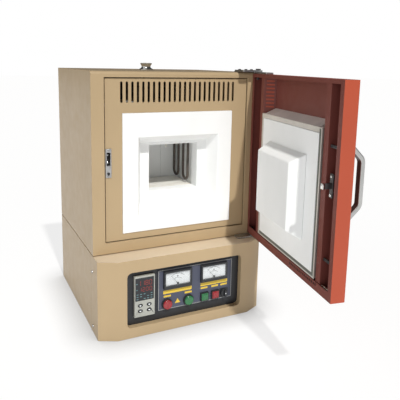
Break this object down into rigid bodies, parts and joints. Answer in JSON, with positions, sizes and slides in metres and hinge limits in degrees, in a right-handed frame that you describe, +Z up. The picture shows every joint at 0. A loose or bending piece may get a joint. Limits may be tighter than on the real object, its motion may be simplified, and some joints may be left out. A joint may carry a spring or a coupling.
{
  "type": "kiln for pottery",
  "caption": "Front-loading electric kiln: insulated square chamber with U-shaped elements, side-hinged plug door, and a base with controller, meters and buttons.",
  "frame": {"origin": "middle of the cabinet's footprint on the surface it stands on, which is the middle of the bottom plate's underside", "axes": "+Z up, -Y towards the front where the door opens, +X to the right seen from the front"},
  "size_m": [0.4213, 0.7692, 0.606],
  "materials": {
    "beige_enamel": "satin powder coat",
    "orange_enamel": "satin powder coat",
    "fibre_board": "matte ceramic fibre",
    "alumina": "matte fired alumina",
    "element": "dark silicide, slightly glazed",
    "stainless_steel": "brushed",
    "zinc_plate": "zinc plated",
    "handle_alloy": "satin",
    "black_plastic": "fine texture",
    "grey_plastic": "satin",
    "slate_plate": "satin screen print, no lettering",
    "needle_black": "matte",
    "red_button": "gloss",
    "green_button": "gloss",
    "transformer_iron": "varnished core and coil",
    "meter_glass": "clear",
    "meter_dial": "white dial card",
    "yellow_strip": "plain adhesive strip",
    "display_red": "lit digits",
    "display_green": "lit digits"
  },
  "bodies": {
    "root": {"upper_casing": "beige_enamel", "front_panel": "beige_enamel", "rear_panel": "beige_enamel", "base_shell": "beige_enamel", "front_fascia": "beige_enamel", "bottom_plate": "beige_enamel", "inner_casing": "stainless_steel", "front_insulation": "fibre_board", "left_insulation": "fibre_board", "right_insulation": "fibre_board", "roof_insulation": "fibre_board", "floor_insulation": "fibre_board", "back_insulation": "fibre_board", "hearth_plate": "alumina", "terminal_board": "alumina", "heating_element_1": "element", "heating_element_2": "element", "heating_element_3": "element", "heating_element_4": "element", "thermocouple": "alumina", "exhaust_port": "stainless_steel", "control_panel": "black_plastic", "instrument_plate": "slate_plate", "controller_case": "grey_plastic", "meter_left_case": "black_plastic", "meter_right_case": "black_plastic", "transformer": "transformer_iron", "fan_frame": "black_plastic", "cable_gland": "black_plastic", "catch_body": "zinc_plate", "cabinet_hinge_leaf_top": "zinc_plate", "cabinet_hinge_leaf_bottom": "zinc_plate", "hinge_pin_top": "zinc_plate", "hinge_pin_bottom": "zinc_plate"},
    "door": {"door_shell": "orange_enamel", "door_rib_hinge_side": "orange_enamel", "door_rib_latch_side": "orange_enamel", "plug_tray": "stainless_steel", "plug_slab": "fibre_board", "plug_block": "fibre_board", "door_handle": "handle_alloy", "catch_tongue": "zinc_plate", "door_hinge_leaf_top": "zinc_plate", "door_hinge_leaf_bottom": "zinc_plate"},
    "exhaust_plug": {"exhaust_plug": "alumina"},
    "catch_ball_upper": {"catch_ball_upper": "stainless_steel"},
    "catch_ball_lower": {"catch_ball_lower": "stainless_steel"},
    "door_switch": {"door_switch_plunger": "black_plastic"},
    "off_button": {"off_button": "red_button"},
    "on_button": {"on_button": "green_button"},
    "heat_start_button": {"heat_start_button": "green_button"},
    "heat_stop_button": {"heat_stop_button": "red_button"},
    "selector_knob": {"selector_knob": "black_plastic"},
    "fan_rotor": {"fan_rotor": "black_plastic"},
    "meter_left_needle": {"meter_left_needle": "needle_black"},
    "meter_right_needle": {"meter_right_needle": "needle_black"},
    "controller_key_1": {"controller_key_1": "black_plastic"},
    "controller_key_2": {"controller_key_2": "black_plastic"},
    "controller_key_3": {"controller_key_3": "black_plastic"},
    "controller_key_4": {"controller_key_4": "black_plastic"}
  },
  "joints": [
    {"name": "door_hinge", "type": "hinge", "parent": "root", "child": "door", "pos_m": [0.196, -0.188, 0.388], "axis": [0, 0, 1], "range_deg": [-80, 30]},
    {"name": "exhaust_plug_lift", "type": "slide", "parent": "root", "child": "exhaust_plug", "axis": [0, 0, 1], "range_m": [0, 0.04]},
    {"name": "catch_ball_upper_press", "type": "slide", "parent": "root", "child": "catch_ball_upper", "axis": [0, 0, 1], "range_m": [0, 0.0012], "stiffness_N_per_m": 2000},
    {"name": "catch_ball_lower_press", "type": "slide", "parent": "root", "child": "catch_ball_lower", "axis": [0, 0, -1], "range_m": [0, 0.0012], "stiffness_N_per_m": 2000},
    {"name": "door_switch_press", "type": "slide", "parent": "root", "child": "door_switch", "axis": [0, 1, 0], "range_m": [0, 0.0015], "stiffness_N_per_m": 300},
    {"name": "off_button_press", "type": "slide", "parent": "root", "child": "off_button", "axis": [0, 1, 0], "range_m": [0, 0.003], "stiffness_N_per_m": 250},
    {"name": "on_button_press", "type": "slide", "parent": "root", "child": "on_button", "axis": [0, 1, 0], "range_m": [0, 0.003], "stiffness_N_per_m": 250},
    {"name": "heat_start_button_press", "type": "slide", "parent": "root", "child": "heat_start_button", "axis": [0, 1, 0], "range_m": [0, 0.003], "stiffness_N_per_m": 250},
    {"name": "heat_stop_button_press", "type": "slide", "parent": "root", "child": "heat_stop_button", "axis": [0, 1, 0], "range_m": [0, 0.003], "stiffness_N_per_m": 250},
    {"name": "controller_key_1_press", "type": "slide", "parent": "root", "child": "controller_key_1", "axis": [0, 1, 0], "range_m": [0, 0.0008], "stiffness_N_per_m": 400},
    {"name": "controller_key_2_press", "type": "slide", "parent": "root", "child": "controller_key_2", "axis": [0, 1, 0], "range_m": [0, 0.0008], "stiffness_N_per_m": 400},
    {"name": "controller_key_3_press", "type": "slide", "parent": "root", "child": "controller_key_3", "axis": [0, 1, 0], "range_m": [0, 0.0008], "stiffness_N_per_m": 400},
    {"name": "controller_key_4_press", "type": "slide", "parent": "root", "child": "controller_key_4", "axis": [0, 1, 0], "range_m": [0, 0.0008], "stiffness_N_per_m": 400},
    {"name": "selector_turn", "type": "hinge", "parent": "root", "child": "selector_knob", "pos_m": [0.104, -0.22, 0.059], "axis": [0, 1, 0], "range_deg": [0, 90]},
    {"name": "meter_left_swing", "type": "hinge", "parent": "root", "child": "meter_left_needle", "pos_m": [-0.0195, -0.219, 0.107], "axis": [0, 1, 0], "range_deg": [0, 84], "stiffness_Nm_per_rad": 0.0001},
    {"name": "meter_right_swing", "type": "hinge", "parent": "root", "child": "meter_right_needle", "pos_m": [0.0745, -0.219, 0.107], "axis": [0, 1, 0], "range_deg": [0, 84], "stiffness_Nm_per_rad": 0.0001},
    {"name": "fan_spin", "type": "hinge", "parent": "root", "child": "fan_rotor", "pos_m": [0.11, 0.16, 0.09], "axis": [0, 1, 0], "continuous": true}
  ]
}
